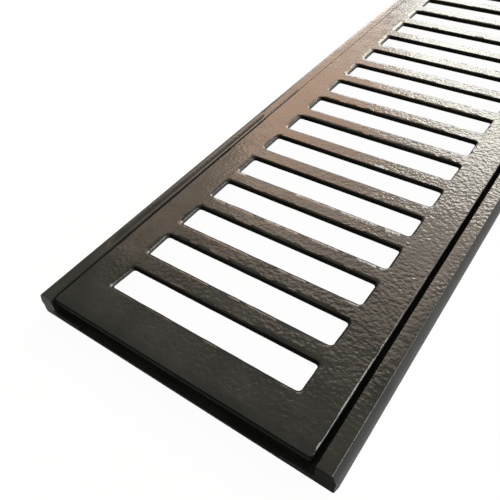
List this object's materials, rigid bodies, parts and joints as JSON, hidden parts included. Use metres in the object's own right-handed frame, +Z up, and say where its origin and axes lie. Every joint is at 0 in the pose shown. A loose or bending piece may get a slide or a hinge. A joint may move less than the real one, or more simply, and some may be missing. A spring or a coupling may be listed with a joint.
{
  "type": "channel drain grate",
  "caption": "Flat slotted cast grate lying loose in a low cast frame, for covering a shallow linear drain channel.",
  "frame": {"origin": "middle of the frame's underside", "axes": "+X across the channel, towards the side with the wide gap; +Y along the channel; +Z up"},
  "size_m": [0.1136, 0.5, 0.0094],
  "materials": {
    "rim_paint": "satin black paint on smooth cast faces",
    "grate_paint": "gloss black paint over sand-cast skin"
  },
  "bodies": {
    "root": {"frame": "rim_paint", "grate": "grate_paint"}
  },
  "joints": []
}
